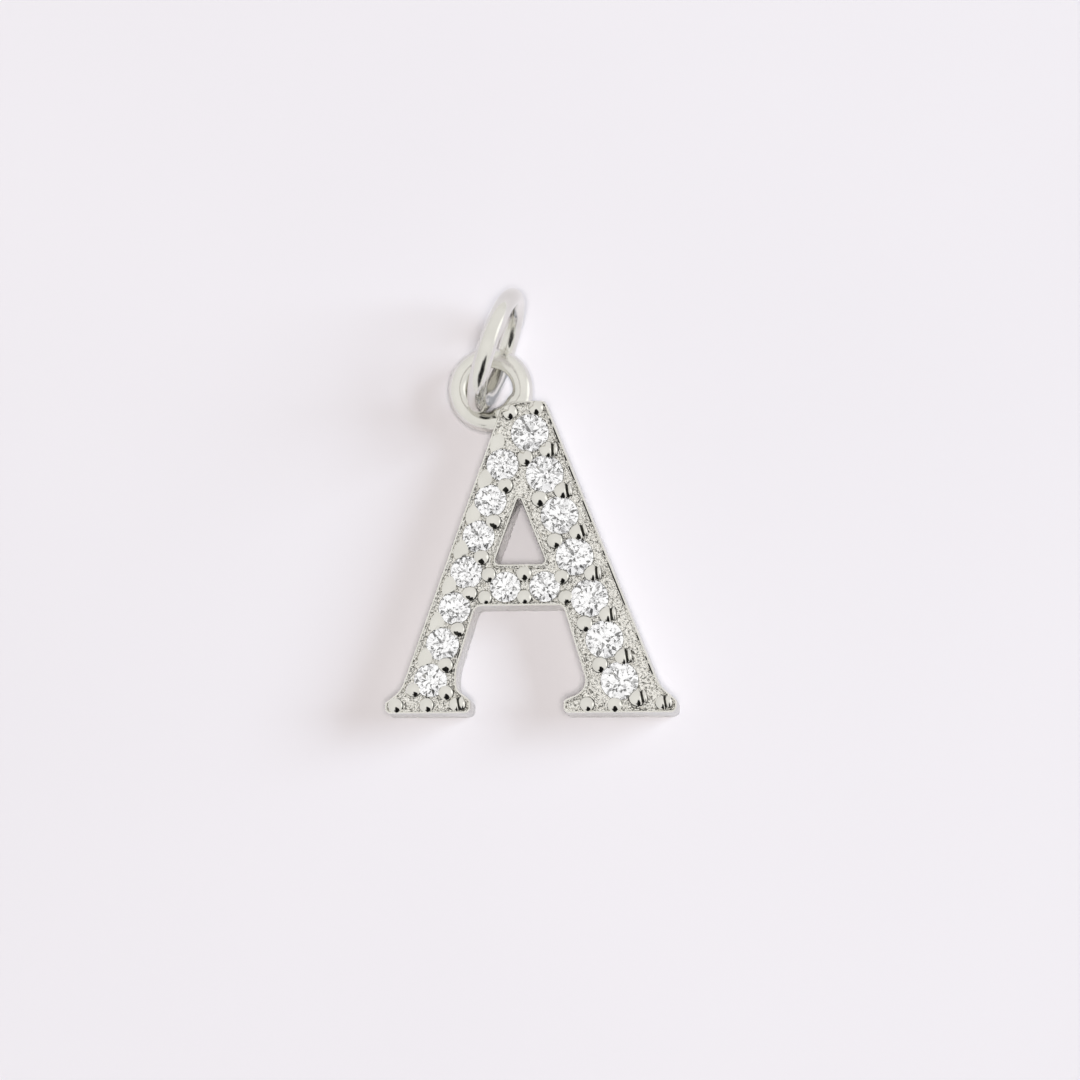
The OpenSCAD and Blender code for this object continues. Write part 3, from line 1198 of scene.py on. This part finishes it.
# %% Sky, card and pane
sky_low = (0.88, 0.87, 0.845)
sky_high = (0.95, 0.94, 0.91)
card_black = (0.01, 0.01, 0.01)
pane_light = (1.35, 1.35, 1.31)
toward_card = direction(-78, 34)
toward_pane = direction(6, 14)

room = bpy.data.worlds.new("room")
room.use_nodes = True
bpy.context.scene.world = room
nodes = room.node_tree.nodes
links = room.node_tree.links
where = nodes.new("ShaderNodeTexCoord")
overhead = sky_mask(nodes, links, where, Vector((0, 0, 1)), reach_deg=15, soft_deg=60)
card = sky_mask(nodes, links, where, toward_card, reach_deg=25, soft_deg=3, ragged=0.22)
pane = sky_mask(nodes, links, where, toward_pane, reach_deg=8, soft_deg=14)
sky = sky_mix(nodes, links, overhead, sky_low, sky_high)
sky = sky_mix(nodes, links, card, sky, card_black)
sky = sky_mix(nodes, links, pane, sky, pane_light)
print("room nodes for the metal:", len(nodes))

# %% [markdown]
# The stones need more contrast than the metal, so rays that have passed through a stone see a sky
# with small dark patches. The floor would look flat under so bright a sky, so diffuse rays see a
# dim one.

# %% What the stones and the floor see of the room
patches_scale = 11
patch_dark = (0.11, 0.11, 0.11)
patch_pale = (1.19, 1.18, 1.18)
dim_sky = (0.15, 0.139, 0.134)

patches = nodes.new("ShaderNodeTexNoise")
patches.inputs["Scale"].default_value = patches_scale
patches.inputs["Detail"].default_value = 1
links.new(where.outputs["Generated"], patches.inputs["Vector"])
stone_sky = tinted(
    nodes, links, patches.outputs["Fac"], patch_dark, patch_pale, dark_at=0.37, pale_at=0.49
)

rays = nodes.new("ShaderNodeLightPath")
seen = sky_mix(nodes, links, rays.outputs["Is Transmission Ray"], sky, stone_sky)
ambient = sky_mix(nodes, links, rays.outputs["Is Diffuse Ray"], seen, dim_sky)
links.new(ambient, nodes["Background"].inputs["Color"])
print("room nodes in all:", len(nodes))

# %% [markdown]
# The floor takes most of its light from a soft fill that comes from the camera's side, so that the
# holes of the letter stay bright. A window at the right, which the metal and the stones don't see,
# gives the long faint shadow toward the left.

# %% Fill and window
tilt_right = 4.7
tilt_down = 6.5
window_size = 0.42
window_distance = 0.8
toward_window = direction(14, 31)


def add_light(name, data, toward, distance=0):
    """A light that shines from a direction and that shows neither in the metal nor in a stone."""
    light = bpy.data.objects.new(name, data)
    light.location = toward * distance
    light.rotation_euler = (-toward).to_track_quat("-Z", "Y").to_euler()
    light.visible_glossy = False
    light.visible_transmission = False
    bpy.context.scene.collection.objects.link(light)
    return light


toward_camera = Vector(
    (math.tan(math.radians(tilt_right)), -math.tan(math.radians(tilt_down)), 1)
).normalized()
fill_data = bpy.data.lights.new("fill", "SUN")
fill_data.energy = 2.15
fill_data.angle = math.radians(14)
fill_data.color = (1.0, 0.935, 0.905)
fill = add_light("fill", fill_data, toward_camera)

window_data = bpy.data.lights.new("window", "AREA")
window_data.shape = "SQUARE"
window_data.size = window_size
window_data.energy = 4.4
window_data.color = (0.80, 0.89, 1.0)
window = add_light("window", window_data, toward_window, window_distance)
print("lights:", fill.name, window.name, "at", [round(v, 3) for v in window.location])

# %% [markdown]
# The photograph looks almost straight down, tipped a few degrees toward the foot and the right
# of the letter, so that its bottom walls show. A long lens from 19 cm keeps the strokes parallel.
# The camera is placed by two tilts and a distance, and it looks at the point of the letter's
# face that stands in the middle of the picture.

# %% Camera
picture_px = 1080
px_per_mm = 31.8
camera_distance = 190
sensor = 36
look_at = Vector((0.299, -1.236, body_t))

camera_right = Vector((0, 1, 0)).cross(toward_camera).normalized()
camera_up = toward_camera.cross(camera_right)
camera_data = bpy.data.cameras.new("camera")
camera_data.sensor_width = sensor
camera_data.lens = sensor * px_per_mm * camera_distance / picture_px
camera_data.clip_start = 0.01
camera_data.clip_end = 10
camera = bpy.data.objects.new("camera", camera_data)
axes = Matrix((camera_right, camera_up, toward_camera)).transposed().to_4x4()
camera.matrix_world = Matrix.Translation((look_at + toward_camera * camera_distance) * MM) @ axes
bpy.context.scene.collection.objects.link(camera)
bpy.context.scene.camera = camera
bpy.context.scene.view_settings.view_transform = "Standard"
print("lens", round(camera_data.lens, 1), "mm")
